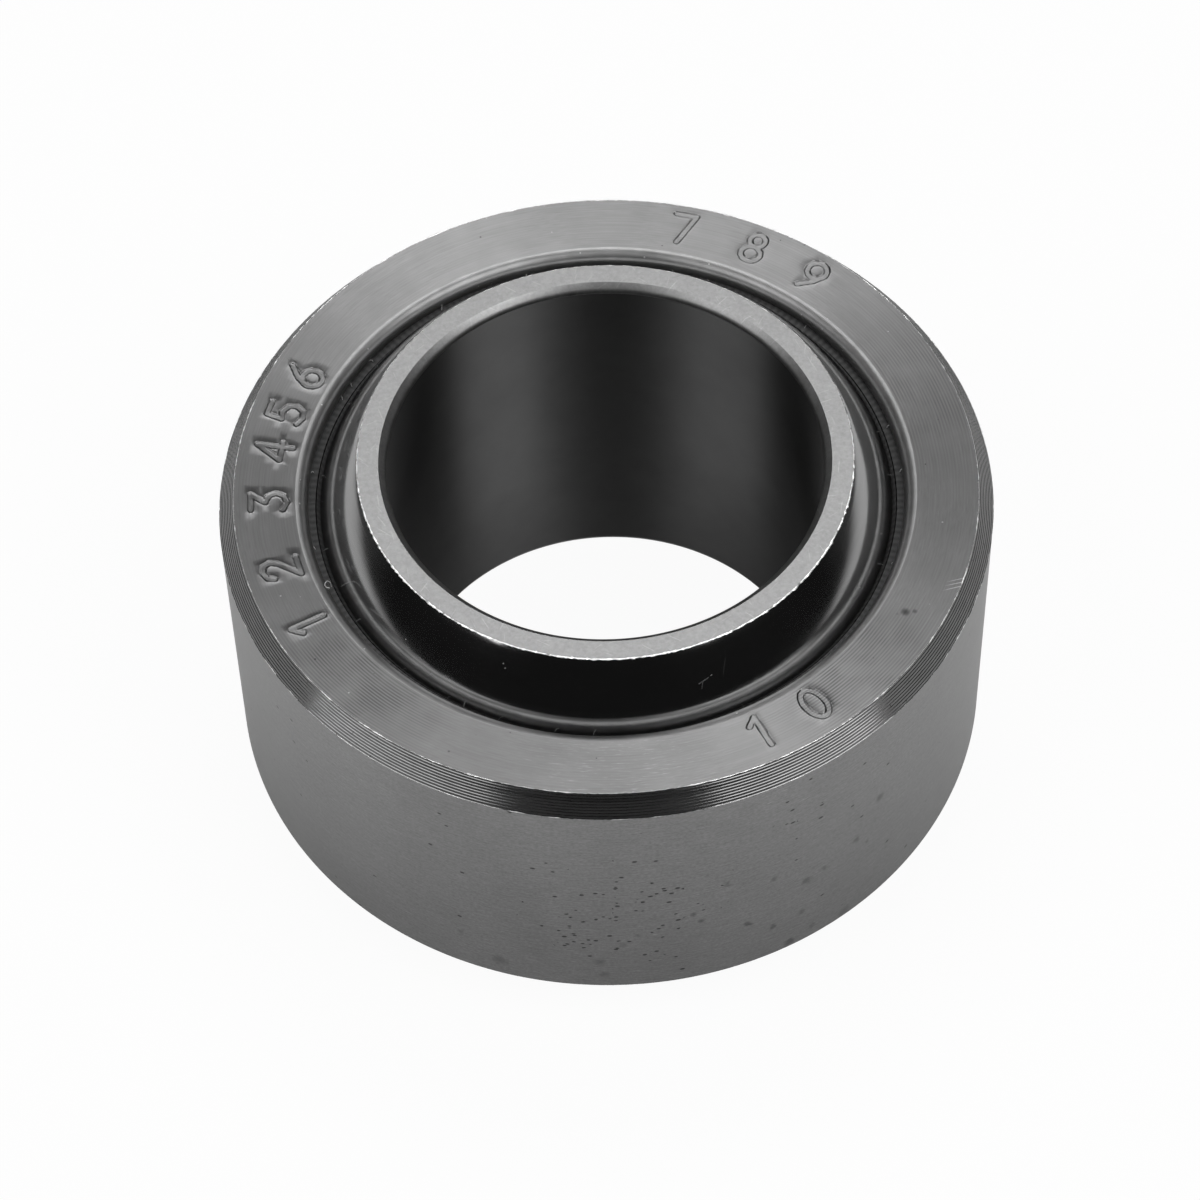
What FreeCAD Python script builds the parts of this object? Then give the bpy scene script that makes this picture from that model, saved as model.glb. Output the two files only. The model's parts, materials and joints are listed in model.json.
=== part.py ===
import FreeCAD, Part
import math
import os
import Sketcher

# Self-aligning spherical plain bearing: a bored steel ball turns and tilts in
# a one-piece steel race that was swaged round it, on a bonded fabric liner.
# The frame's origin is the ball's centre and +Z is the axis of the bore.
# The bearing stands on the ball's lower face. All sizes are in millimetres.

DRIVING_SIZES = [
    ("bore_dia", 22.225, "bore for the shaft or bolt"),
    ("bore_chamfer", 0.45, "45 degree chamfer at both ends of the bore"),
    ("ball_width", 22.225, "ball across its two flat faces"),
    ("face_land", 1.4875, "flat ring of a ball face, from bore to sphere"),
    ("ball_projection", 2.21, "how far the ball stands out of the race, each side"),
    ("running_clearance", 0.03, "radial room between ball and liner"),
    ("liner_thickness", 0.38, "woven liner, bonded into the race"),
    ("liner_recess", 1.10, "race face to the liner's edge"),
    ("race_wall", 2.6335, "race wall at its middle, seat to outside"),
    ("lip_radius", 0.64, "swaged lip, rounded from race face into seat"),
    ("chamfer_width", 0.80, "lead-in chamfer of the race, across the face"),
    ("chamfer_height", 1.10, "lead-in chamfer of the race, along the outside"),
]

# What follows from the sizes above, as formulas of the same sheet.
DERIVED_SIZES = [
    ("face_radius", "=bore_dia / 2 + face_land"),
    ("ball_radius", "=sqrt(face_radius ^ 2 + (ball_width / 2) ^ 2)"),
    ("liner_radius", "=ball_radius + running_clearance"),
    ("seat_radius", "=liner_radius + liner_thickness"),
    ("race_radius", "=seat_radius + race_wall"),
    ("race_width", "=ball_width - 2 * ball_projection"),
    ("liner_width", "=race_width - 2 * liner_recess"),
]

NEAR = 1e-4


def fill_sheet(doc):
    """Write the driving sizes and what follows from them, each under its alias."""
    sheet = doc.addObject("Spreadsheet::Sheet", "sizes")
    row = 0
    for alias, value, meaning in DRIVING_SIZES:
        row += 1
        sheet.set(f"A{row}", alias)
        sheet.set(f"B{row}", str(value))
        sheet.set(f"C{row}", meaning)
        sheet.setAlias(f"B{row}", alias)
    for alias, formula in DERIVED_SIZES:
        row += 1
        sheet.set(f"A{row}", alias)
        sheet.set(f"B{row}", formula)
        sheet.setAlias(f"B{row}", alias)
    doc.recompute()
    return sheet


def new_body(doc, label):
    """Start a piece whose centre is the centre of the bearing."""
    body = doc.addObject("PartDesign::Body", label)
    body.Label = label
    body.Placement = FreeCAD.Placement()
    return body


def origin_plane(body, role):
    """Find one of the body's own origin planes."""
    return next(f for f in body.Origin.OriginFeatures if f.Role == role)


def new_sketch(body, name, role):
    """Start a sketch on one of the body's origin planes."""
    sketch = body.newObject("Sketcher::SketchObject", name)
    sketch.AttachmentSupport = [(origin_plane(body, role), "")]
    sketch.MapMode = "FlatFace"
    return sketch


def bind(sketch, constraint, formula):
    """Add a dimension to the sketch and tie it to the sheet."""
    index = sketch.addConstraint(constraint)
    sketch.setExpression(f"Constraints[{index}]", formula)


def add_path(sketch, points, arcs=()):
    """Join the points by lines and close the path; the numbered spans are arcs.

    Each arc is part of a circle about the sketch's origin, as every running
    surface here is part of a sphere about the bearing's centre.
    """
    spans = []
    for number, start in enumerate(points):
        end = points[(number + 1) % len(points)]
        if number in arcs:
            first, last = sorted(math.atan2(y, x) for x, y in (start, end))
            circle = Part.Circle(FreeCAD.Vector(), FreeCAD.Vector(0, 0, 1), math.hypot(*start))
            span = sketch.addGeometry(Part.ArcOfCircle(circle, first, last))
            ends = (1, 2) if math.atan2(start[1], start[0]) == first else (2, 1)
            sketch.addConstraint(Sketcher.Constraint("Coincident", span, 3, -1, 1))
        else:
            line = Part.LineSegment(FreeCAD.Vector(*start, 0), FreeCAD.Vector(*end, 0))
            span = sketch.addGeometry(line)
            ends = (1, 2)
        spans.append((span, ends))
    for number, (span, ends) in enumerate(spans):
        following, following_ends = spans[(number + 1) % len(spans)]
        sketch.addConstraint(
            Sketcher.Constraint("Coincident", span, ends[1], following, following_ends[0])
        )
    return [span for span, ends in spans]


def revolve(body, kind, name, sketch):
    """Turn a sketch about the bore's axis, as a solid or as a cut."""
    feature = body.newObject(kind, name)
    feature.Profile = sketch
    feature.ReferenceAxis = (sketch, ["V_Axis"])
    feature.Angle = 360
    sketch.Visibility = False
    return feature


def round_edges(shape, radius, height):
    """Name the circular edges of this radius at this height, above and below."""
    names = []
    for number, edge in enumerate(shape.Edges, start=1):
        if not isinstance(edge.Curve, Part.Circle):
            continue
        right_radius = abs(edge.Curve.Radius - radius) < NEAR
        if right_radius and abs(abs(edge.Curve.Center.z) - height) < NEAR:
            names.append(f"Edge{number}")
    return names


def build_ball(doc, sizes):
    """The bored ball: its spherical outside, two flat faces and chamfered bore."""
    body = new_body(doc, "inner_ball")
    bore = sizes.bore_dia / 2
    half = sizes.ball_width / 2
    corners = [
        (bore, -half),
        (sizes.face_radius, -half),
        (sizes.face_radius, half),
        (bore, half),
    ]
    sketch = new_sketch(body, "ball_profile", "XZ_Plane")
    lower_face, sphere, upper_face, bore_line = add_path(sketch, corners, arcs={1})
    for face in (lower_face, upper_face):
        sketch.addConstraint(Sketcher.Constraint("Horizontal", face))
    sketch.addConstraint(Sketcher.Constraint("Symmetric", bore_line, 1, bore_line, 2, -1))
    bind(sketch, Sketcher.Constraint("DistanceX", -1, 1, bore_line, 1, bore), "sizes.bore_dia / 2")
    bind(sketch, Sketcher.Constraint("Radius", sphere, sizes.ball_radius), "sizes.ball_radius")
    bind(sketch, Sketcher.Constraint("Distance", bore_line, sizes.ball_width), "sizes.ball_width")
    ball = revolve(body, "PartDesign::Revolution", "turned_ball", sketch)
    doc.recompute()

    chamfer = body.newObject("PartDesign::Chamfer", "bore_chamfers")
    chamfer.Base = (ball, round_edges(ball.Shape, bore, half))
    chamfer.setExpression("Size", "sizes.bore_chamfer")
    return body


def build_liner(doc, sizes):
    """The woven liner: a thin spherical zone, trimmed flat at both edges."""
    body = new_body(doc, "fabric_liner")
    half = sizes.liner_width / 2
    inner = math.sqrt(sizes.liner_radius ** 2 - half ** 2)
    outer = math.sqrt(sizes.seat_radius ** 2 - half ** 2)
    corners = [(inner, -half), (outer, -half), (outer, half), (inner, half)]
    sketch = new_sketch(body, "liner_profile", "XZ_Plane")
    lower_edge, back, upper_edge, front = add_path(sketch, corners, arcs={1, 3})
    for trimmed in (lower_edge, upper_edge):
        sketch.addConstraint(Sketcher.Constraint("Horizontal", trimmed))
    sketch.addConstraint(Sketcher.Constraint("Symmetric", back, 1, back, 2, -1))
    width = Sketcher.Constraint("DistanceY", back, 1, back, 2, sizes.liner_width)
    bind(sketch, Sketcher.Constraint("Radius", back, sizes.seat_radius), "sizes.seat_radius")
    bind(sketch, Sketcher.Constraint("Radius", front, sizes.liner_radius), "sizes.liner_radius")
    bind(sketch, width, "sizes.liner_width")
    revolve(body, "PartDesign::Revolution", "bonded_liner", sketch)
    return body


def build_race(doc, sizes):
    """The race: a turned ring with lead-in chamfers, a spherical seat and rounded lips."""
    body = new_body(doc, "outer_race")
    half = sizes.race_width / 2

    face_edge = sizes.race_radius - sizes.chamfer_width
    rim_edge = half - sizes.chamfer_height
    corners = [
        (0, -half),
        (face_edge, -half),
        (sizes.race_radius, -rim_edge),
        (sizes.race_radius, rim_edge),
        (face_edge, half),
        (0, half),
    ]
    outline = new_sketch(body, "race_outline", "XZ_Plane")
    lower_face, lower_lead, rim, _, upper_face, axis_line = add_path(outline, corners)
    for face in (lower_face, upper_face):
        outline.addConstraint(Sketcher.Constraint("Horizontal", face))
    outline.addConstraint(Sketcher.Constraint("PointOnObject", axis_line, 1, -2))
    outline.addConstraint(Sketcher.Constraint("Symmetric", axis_line, 1, axis_line, 2, -1))
    outline.addConstraint(Sketcher.Constraint("Symmetric", rim, 1, rim, 2, -1))
    outline.addConstraint(Sketcher.Constraint("Equal", lower_face, upper_face))
    radius = Sketcher.Constraint("DistanceX", -1, 1, rim, 1, sizes.race_radius)
    width = Sketcher.Constraint("Distance", axis_line, sizes.race_width)
    lead_across = Sketcher.Constraint("DistanceX", lower_lead, 1, lower_lead, 2, sizes.chamfer_width)
    lead_along = Sketcher.Constraint("DistanceY", lower_lead, 1, lower_lead, 2, sizes.chamfer_height)
    bind(outline, radius, "sizes.race_radius")
    bind(outline, width, "sizes.race_width")
    bind(outline, lead_across, "sizes.chamfer_width")
    bind(outline, lead_along, "sizes.chamfer_height")
    revolve(body, "PartDesign::Revolution", "turned_blank", outline)

    seat_sketch = new_sketch(body, "seat_profile", "XZ_Plane")
    poles = [(0, -sizes.seat_radius), (0, sizes.seat_radius)]
    seat_arc, axis_line = add_path(seat_sketch, poles, arcs={0})
    seat_sketch.addConstraint(Sketcher.Constraint("PointOnObject", axis_line, 1, -2))
    seat_sketch.addConstraint(Sketcher.Constraint("PointOnObject", axis_line, 2, -2))
    seat_radius = Sketcher.Constraint("Radius", seat_arc, sizes.seat_radius)
    bind(seat_sketch, seat_radius, "sizes.seat_radius")
    seat = revolve(body, "PartDesign::Groove", "spherical_seat", seat_sketch)
    doc.recompute()

    mouth_radius = math.sqrt(sizes.seat_radius ** 2 - half ** 2)
    lips = body.newObject("PartDesign::Fillet", "swaged_lips")
    lips.Base = (seat, round_edges(seat.Shape, mouth_radius, half))
    lips.setExpression("Radius", "sizes.lip_radius")
    return body


def check_document(doc, bodies):
    """Stop before anything is written if a feature failed or a solid is bad."""
    for item in doc.Objects:
        if "Invalid" in item.State or "Error" in item.State:
            raise RuntimeError(f"{item.Name} failed: {item.State}")
    for body in bodies:
        shape = body.Shape
        if shape.isNull() or not shape.isValid() or len(shape.Solids) != 1:
            raise RuntimeError(f"{body.Label} is not one valid solid")


def main():
    doc = FreeCAD.newDocument("spherical_plain_bearing")
    sizes = fill_sheet(doc)
    bodies = [build_race(doc, sizes), build_liner(doc, sizes), build_ball(doc, sizes)]
    doc.recompute()
    check_document(doc, bodies)

    os.makedirs("parts", exist_ok=True)
    for body in bodies:
        body.Shape.exportStep(f"parts/{body.Label}.step")
        print(f"{body.Label}: {body.Shape.Volume:.1f} mm3, {body.Shape.BoundBox}")


main()
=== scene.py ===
import json
import math
import random

import bmesh
import bpy
from mathutils import Matrix, Vector
from mathutils.geometry import delaunay_2d_cdt


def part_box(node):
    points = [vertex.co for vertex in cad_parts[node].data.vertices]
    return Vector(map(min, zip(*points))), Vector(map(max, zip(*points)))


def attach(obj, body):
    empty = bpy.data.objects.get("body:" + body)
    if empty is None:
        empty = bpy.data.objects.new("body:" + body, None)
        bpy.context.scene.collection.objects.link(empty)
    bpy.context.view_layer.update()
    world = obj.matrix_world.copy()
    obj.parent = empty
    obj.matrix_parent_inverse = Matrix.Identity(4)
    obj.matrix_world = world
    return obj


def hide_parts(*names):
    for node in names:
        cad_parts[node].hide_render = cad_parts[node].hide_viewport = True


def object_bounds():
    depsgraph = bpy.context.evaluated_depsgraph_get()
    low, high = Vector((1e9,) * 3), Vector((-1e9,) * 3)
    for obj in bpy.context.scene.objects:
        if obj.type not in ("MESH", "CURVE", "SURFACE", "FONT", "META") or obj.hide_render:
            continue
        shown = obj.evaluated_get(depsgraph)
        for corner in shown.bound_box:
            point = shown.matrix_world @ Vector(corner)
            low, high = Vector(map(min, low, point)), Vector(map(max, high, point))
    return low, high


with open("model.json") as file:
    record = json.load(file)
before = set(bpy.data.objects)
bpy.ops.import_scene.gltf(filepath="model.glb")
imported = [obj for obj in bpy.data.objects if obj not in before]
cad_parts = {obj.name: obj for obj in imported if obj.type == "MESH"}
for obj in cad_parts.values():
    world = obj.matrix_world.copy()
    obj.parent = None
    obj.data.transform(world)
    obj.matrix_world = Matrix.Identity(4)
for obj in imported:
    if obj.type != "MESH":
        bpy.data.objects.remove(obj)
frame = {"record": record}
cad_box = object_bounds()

# Outer race: one ring of hardened steel, turned, then swaged round the ball, which
# leaves its lips rounded. The outside is ground; the lead-in chamfers and the faces
# keep their turning marks, and plain figures are stamped into the upper face.

MM = 0.001

SIZES = {mount["name"]: mount["dims"] for mount in frame["record"]["mounts"] if mount.get("dims")}
race_low, race_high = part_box("outer_race")
RACE_RADIUS = min(-race_low.x, race_high.x, -race_low.y, race_high.y)
RIM_HALF_WIDTH = SIZES["housing_seat"]["length_mm"] * MM / 2
RACE_HALF_WIDTH = race_high.z
CHAMFER_REACH = 0.80 * MM
FACE_EDGE_RADIUS = RACE_RADIUS - CHAMFER_REACH
SEAT_RADIUS = 17.2102 * MM
LIP_ROUND = 0.64 * MM
FACE_DISH = math.tan(math.radians(2.5))
RACE_SEGMENTS = 400

# Each groove of the chamfer is deepest at one share of its pitch, by another share of
# it, and the seed makes the grooves a little uneven.
CHAMFER_GROOVES = 9
GROOVE_BOTTOM = 0.26
GROOVE_DEPTH = 0.087
GROOVE_SEED = 5


class Wire:
    """One socket of a node tree. Sums on it add Math nodes to the tree."""

    def __init__(self, tree, socket):
        self.tree = tree
        self.socket = socket

    def node(self, kind, settings, values, output=0):
        """Add any node: its settings first, then a value or a wire for each socket."""
        made = self.tree.nodes.new(kind)
        for name, value in settings.items():
            setattr(made, name, value)
        for key, value in values.items():
            if isinstance(value, Wire):
                self.tree.links.new(value.socket, made.inputs[key])
            else:
                made.inputs[key].default_value = value
        return Wire(self.tree, made.outputs[output])

    def out(self, name):
        """Another output of the node that this wire comes from."""
        return Wire(self.tree, self.socket.node.outputs[name])

    def math(self, operation, *others):
        """A Math node on this wire and the others."""
        return self.node("ShaderNodeMath", {"operation": operation}, dict(enumerate((self,) + others)))

    def reflected(self, operation, other):
        """A Math node with this wire in second place."""
        return self.node("ShaderNodeMath", {"operation": operation}, {0: other, 1: self})

    def __add__(self, other):
        return self.math("ADD", other)

    def __radd__(self, other):
        return self.reflected("ADD", other)

    def __sub__(self, other):
        return self.math("SUBTRACT", other)

    def __rsub__(self, other):
        return self.reflected("SUBTRACT", other)

    def __mul__(self, other):
        return self.math("MULTIPLY", other)

    def __rmul__(self, other):
        return self.reflected("MULTIPLY", other)

    def __truediv__(self, other):
        return self.math("DIVIDE", other)

    def __rtruediv__(self, other):
        return self.reflected("DIVIDE", other)

    def smooth(self, low, high, start=0.0, end=1.0):
        """A soft step: start below low, end above high."""
        values = {"Value": self, "From Min": low, "From Max": high, "To Min": start, "To Max": end}
        return self.node("ShaderNodeMapRange", {"interpolation_type": "SMOOTHSTEP"}, values)

    def stretched(self, x, y, z, shift=(0, 0, 0)):
        """A place, moved and stretched along each axis, to draw a pattern at."""
        moved = self.node("ShaderNodeVectorMath", {"operation": "ADD"}, {0: self, 1: shift})
        return self.node("ShaderNodeVectorMath", {"operation": "MULTIPLY"}, {0: moved, 1: (x, y, z)})

    def in_millimetres(self):
        """A place in metres, given in millimetres."""
        return self.stretched(1 / MM, 1 / MM, 1 / MM)

    def split(self):
        """A place taken apart: out() gives its X, Y and Z."""
        return self.node("ShaderNodeSeparateXYZ", {}, {0: self})

    def noise(self, scale, detail=2.0, roughness=0.5):
        """Soft noise, drawn at this place."""
        values = {"Vector": self, "Scale": scale, "Detail": detail, "Roughness": roughness}
        return self.node("ShaderNodeTexNoise", {}, values)


def vector(operation, *values):
    """A Vector Math node on these values; a plain number comes out of LENGTH and the like."""
    first = next(value for value in values if isinstance(value, Wire))
    single = operation in ("LENGTH", "DISTANCE", "DOT_PRODUCT")
    settings = {"operation": operation}
    return first.node("ShaderNodeVectorMath", settings, dict(enumerate(values)), output=int(single))


def straight_up(height):
    """A step of this height straight up."""
    return height.node("ShaderNodeCombineXYZ", {}, {"X": 0.0, "Y": 0.0, "Z": height})


def new_tree(name, inputs):
    """A Geometry Nodes tree with named inputs; returns a wire from its first input."""
    tree = bpy.data.node_groups.new(name, "GeometryNodeTree")
    tree.is_modifier = True
    for socket, kind in inputs:
        tree.interface.new_socket(socket, in_out="INPUT", socket_type="NodeSocket" + kind)
    tree.interface.new_socket("Geometry", in_out="OUTPUT", socket_type="NodeSocketGeometry")
    return Wire(tree, tree.nodes.new("NodeGroupInput").outputs[0])


def end_tree(given, geometry):
    """Close a tree: its instances are made real and its surface gets the finish."""
    real = given.node("GeometryNodeRealizeInstances", {}, {"Geometry": geometry})
    values = {"Geometry": real, "Material": given.out("Finish")}
    finished = given.node("GeometryNodeSetMaterial", {}, values)
    given.tree.links.new(finished.socket, given.tree.nodes.new("NodeGroupOutput").inputs[0])
    return given.tree


def object_mesh(given, name):
    """The mesh of the object that comes into a tree under this name."""
    return given.node("GeometryNodeObjectInfo", {}, {"Object": given.out(name)}).out("Geometry")


def lathe_tree():
    """The lathe: turns a section, a row of points in XZ, about the bore's axis."""
    given = new_tree(
        "turned_about_the_bore", [("Section", "Object"), ("Segments", "Int"), ("Finish", "Material")]
    )
    place = given.node("GeometryNodeInputPosition", {}, {})
    section = object_mesh(given, "Section")
    rows = section.node("GeometryNodeAttributeDomainSize", {}, {"Geometry": section}).out("Point Count")
    sheet = given.node(
        "GeometryNodeMeshGrid", {}, {"Vertices X": given.out("Segments") + 1, "Vertices Y": rows}
    )
    flat = place.split()
    turn = (flat.out("X") + 0.5) * math.tau
    row = (flat.out("Y") + 0.5) * (rows - 1) + 0.5
    values = {"Geometry": section, "Value": place, "Index": row.math("FLOOR")}
    point = given.node("GeometryNodeSampleIndex", {"data_type": "FLOAT_VECTOR", "clamp": True}, values)
    on_section = point.split()
    radius = on_section.out("X")
    values = {"X": radius * turn.math("COSINE"), "Y": radius * turn.math("SINE"), "Z": on_section.out("Z")}
    wound = given.node("ShaderNodeCombineXYZ", {}, values)
    placed = given.node("GeometryNodeSetPosition", {}, {"Geometry": sheet, "Position": wound})
    closed = given.node("GeometryNodeMergeByDistance", {}, {"Geometry": placed, "Distance": 0.0002 * MM})
    return end_tree(given, closed)


LATHE = lathe_tree()


def new_object(name, data):
    """An object with this mesh, lamp or camera, put into the scene."""
    made = bpy.data.objects.new(name, data)
    bpy.context.scene.collection.objects.link(made)
    return made


def run_tree(name, tree, inputs, mesh=None):
    """Run a Geometry Nodes tree on a mesh, and keep its result as a plain mesh object."""
    holder = new_object(name, mesh or bpy.data.meshes.new(name))
    modifier = holder.modifiers.new(name, "NODES")
    modifier.node_group = tree
    for item in tree.interface.items_tree:
        if item.in_out == "INPUT" and item.name in inputs:
            modifier[item.identifier] = inputs[item.name]
    bpy.context.view_layer.update()
    depsgraph = bpy.context.evaluated_depsgraph_get()
    made = bpy.data.meshes.new_from_object(holder.evaluated_get(depsgraph), depsgraph=depsgraph)
    made.name = name
    bpy.data.objects.remove(holder)
    return new_object(name, made)


def line_object(name, lines):
    """An object of bare edges, for a tree to read: each line is a row of points."""
    points = [point for line in lines for point in line]
    edges = []
    first = 0
    for line in lines:
        edges += [(first + i, first + i + 1) for i in range(len(line) - 1)]
        first += len(line)
    mesh = bpy.data.meshes.new(name)
    mesh.from_pydata(points, edges, [])
    return new_object(name, mesh)


def turned(name, section, segments, finish):
    """Turn a row of (radius, height) points into a surface of revolution."""
    row = line_object(name + "_section", [[(r, 0, z) for r, z in section]])
    piece = run_tree(name, LATHE, {"Section": row, "Segments": segments, "Finish": finish})
    bpy.data.objects.remove(row)
    return piece


def finish_number(mesh, part):
    """Which of a mesh's finishes a part has; a finish that is new to the mesh is added."""
    finish = next(material for material in part.data.materials if material)
    if finish.name not in mesh.materials:
        mesh.materials.append(finish)
    return mesh.materials.find(finish.name)


def welded(name, parts, sharp_degrees):
    """Join parts that share their edge rings into one piece, its faces turned outwards."""
    shape = bmesh.new()
    mesh = bpy.data.meshes.new(name)
    for part in parts:
        first = len(shape.faces)
        shape.from_mesh(part.data)
        shape.faces.ensure_lookup_table()
        number = finish_number(mesh, part)
        for face in shape.faces[first:]:
            face.material_index = number
        bpy.data.objects.remove(part)
    bmesh.ops.remove_doubles(shape, verts=shape.verts, dist=0.0005 * MM)
    bmesh.ops.recalc_face_normals(shape, faces=shape.faces)
    shape.to_mesh(mesh)
    shape.free()
    mesh.shade_smooth()
    mesh.set_sharp_from_angle(angle=math.radians(sharp_degrees))
    return new_object(name, mesh)


def arc(centre, radius, start, end, count):
    """Points of an arc in the section; its angles, in degrees, start at the radial direction."""
    cr, cz = centre
    angles = [math.radians(start + (end - start) * i / count) for i in range(count + 1)]
    return [(cr + radius * math.cos(a), cz + radius * math.sin(a)) for a in angles]


def mirrored(points):
    """The same stretch of section below the middle plane, in reverse order."""
    return [(r, -z) for r, z in reversed(points)]


def turning_marks(start, end):
    """The grooves that a turning tool's feed leaves along a straight flank.

    Going up the flank, each groove sinks steeply into the metal and comes out again on a
    longer, shallower side.
    """
    uneven = random.Random(GROOVE_SEED)
    (r0, z0), (r1, z1) = start, end
    length = math.hypot(r1 - r0, z1 - z0)
    along = ((r1 - r0) / length, (z1 - z0) / length)
    inward = (-along[1], along[0])
    pitch = length / CHAMFER_GROOVES
    points = []
    for groove in range(CHAMFER_GROOVES):
        depth = uneven.uniform(0.97, 1.05)
        for share, sunk in ((0, 0), (GROOVE_BOTTOM, GROOVE_DEPTH)):
            run = pitch * (groove + share)
            r = r0 + along[0] * run + inward[0] * depth * sunk * pitch
            z = z0 + along[1] * run + inward[1] * depth * sunk * pitch
            points.append((r, z))
    return points + [end]


def bare_finish(name, base, roughness, anisotropic=0.0, metallic=1):
    """A finish of one grey: its material, its surface shader and the place on the piece."""
    material = bpy.data.materials.new(name)
    material.use_nodes = True
    tree = material.node_tree
    surface = tree.nodes["Principled BSDF"]
    surface.inputs["Metallic"].default_value = metallic
    surface.inputs["Base Color"].default_value = (base, base, base, 1)
    surface.inputs["Roughness"].default_value = roughness
    surface.inputs["Anisotropic"].default_value = anisotropic
    surface.inputs["Anisotropic Rotation"].default_value = 0.25 if anisotropic else 0.0
    place = Wire(tree, tree.nodes.new("ShaderNodeTexCoord").outputs["Object"])
    return material, surface, place.in_millimetres()


def feed(surface, socket, wire):
    """Let a wire drive one of the surface's sockets."""
    wire.tree.links.new(wire.socket, surface.inputs[socket])


def grey(shade):
    """A grey of this shade, as a colour."""
    return shade.node("ShaderNodeCombineColor", {}, {0: shade, 1: shade, 2: shade})


def bump(height, depth):
    """A bump from a height, in units of this depth."""
    values = {"Strength": 1.0, "Distance": depth, "Height": height}
    return height.node("ShaderNodeBump", {}, values)


def radius_of(place):
    """The distance from the bore's axis."""
    return vector("LENGTH", place.stretched(1, 1, 0))


def unrolled(place, radius):
    """A place round the axis laid out flat: along the circle, outwards and upwards."""
    at = place.split()
    run = at.out("Y").math("ARCTAN2", at.out("X")) * radius
    values = {"X": run, "Y": radius_of(place), "Z": at.out("Z")}
    return place.node("ShaderNodeCombineXYZ", {}, values)


def flecks(place, size, share, reach):
    """Sparse soft spots: one in a share of the cells of this size, each up to reach across."""
    cells = place.node("ShaderNodeTexVoronoi", {}, {"Vector": place, "Scale": 1 / size})
    pick = cells.node("ShaderNodeSeparateColor", {}, {0: cells.out("Color")})
    edge = pick.out("Green") * reach + 0.01
    spot = (cells.out("Distance") / edge).smooth(0.6, 1.1, 1.0, 0.0)
    return spot * pick.out("Red").math("LESS_THAN", share)


def strongest(marks):
    """Several marks in one: where they overlap, the strongest counts."""
    total, *others = marks
    for mark in others:
        total = total.math("MAXIMUM", mark)
    return total


def patches(place, spots):
    """Soft spots: each is a point, how far it reaches and how strong it is."""
    marks = []
    for point, reach, strength in spots:
        share = vector("DISTANCE", place, point) / reach
        marks.append(share.smooth(0.2, 1.0, strength, 0.0))
    return strongest(marks)


def scratches(place, lines, width):
    """Straight scratches: each is a start, an end and how strong it is."""
    marks = []
    for start, end, strength in lines:
        start = Vector(start)
        run = Vector(end) - start
        off = vector("SUBTRACT", place, start)
        share = vector("DOT_PRODUCT", off, run / run.length_squared)
        share = share.math("MAXIMUM", 0.0).math("MINIMUM", 1.0)
        foot = share.node("ShaderNodeVectorMath", {"operation": "SCALE"}, {0: run, "Scale": share})
        aside = vector("DISTANCE", off, foot) / width
        marks.append(aside.smooth(0.4, 1.0, strength, 0.0))
    return strongest(marks)


def round_the_bore(direction, radius, height):
    """A point, from its direction in degrees, its distance from the axis and its height."""
    a = math.radians(direction)
    return (radius * math.cos(a), radius * math.sin(a), height)


# Stains of the outside: direction in degrees, height, reach and strength of each.
STAINS = [
    (-77.6, -2.5, 0.34, 0.9),
    (-78.8, -1.7, 0.24, 0.8),
    (-70.4, -4.0, 0.34, 1.0),
    (-66.4, -5.2, 0.26, 0.9),
    (-63.5, -7.4, 0.44, 1.0),
    (-59.6, -6.9, 0.34, 0.6),
    (-61.6, -5.0, 0.34, 0.7),
    (-60.8, -2.2, 0.40, 0.8),
    (-57.8, -1.9, 0.30, 0.7),
    (-51.9, -1.2, 0.34, 0.8),
    (-49.8, -2.1, 0.24, 0.7),
    (-53.6, -7.4, 0.50, 0.6),
    (-92.9, -5.5, 0.44, 0.5),
    (-92.2, -6.7, 0.40, 0.5),
    (-87.1, -3.1, 0.24, 0.6),
    (-89.3, -3.9, 0.30, 0.5),
    (-73.7, 0.4, 0.26, 0.7),
    (-66.3, -0.6, 0.30, 0.8),
    (-76.7, 1.7, 0.22, 0.6),
    (-108.0, -6.6, 0.60, 0.6),
    (-114.0, -4.9, 0.30, 0.5),
    (-47.5, 1.2, 0.50, 0.9),
]
outside = RACE_RADIUS / MM

ground_steel, ground_surface, ground_place = bare_finish("ground_steel", 0.2, 0.28, 0.35)
ground_flat = unrolled(ground_place, outside)
streaks = ground_flat.stretched(0.8, 0, 10.0).noise(1.0, 3.0, 0.6)
bright_streaks = ground_flat.stretched(0.9, 0, 16.0, (3, 0, 5)).noise(1.0, 1.0, 0.5).smooth(0.66, 0.80)
grain = ground_flat.stretched(5.0, 0, 9.0).noise(1.0, 2.0, 0.7)
clouds = ground_place.noise(0.22, 3.0, 0.55)
shaken_place = vector("MULTIPLY", ground_place.noise(2.2, 2.0).out("Color"), (0.5, 0.5, 0.5))
shaken_place = vector("SUBTRACT", vector("ADD", ground_place, shaken_place), (0.25, 0.25, 0.25))
stain_spots = [(round_the_bore(t, outside, z), reach, strength) for t, z, reach, strength in STAINS]
stains = patches(shaken_place, stain_spots)
pitted_places = [
    (round_the_bore(-88, outside, -1.4), 7.0, 0.6),
    (round_the_bore(-96, outside, -2.6), 3.6, 1.0),
    (round_the_bore(-62, outside, 4.6), 3.2, 0.5),
    (round_the_bore(130, outside, 2.0), 8.0, 0.7),
]
pit_field = patches(ground_place, pitted_places) * ground_place.noise(0.7, 1.0).smooth(0.40, 0.62)
pits = flecks(ground_flat.stretched(1.0, 0, 1.7), 0.34, pit_field * 0.95 + 0.012, 0.46)
upwards = ground_place.split().out("Z")
ragged = upwards.math("ABSOLUTE") + ground_flat.stretched(7.0, 0, 0).noise(1.0, 2.0, 0.7) * 0.6
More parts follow.
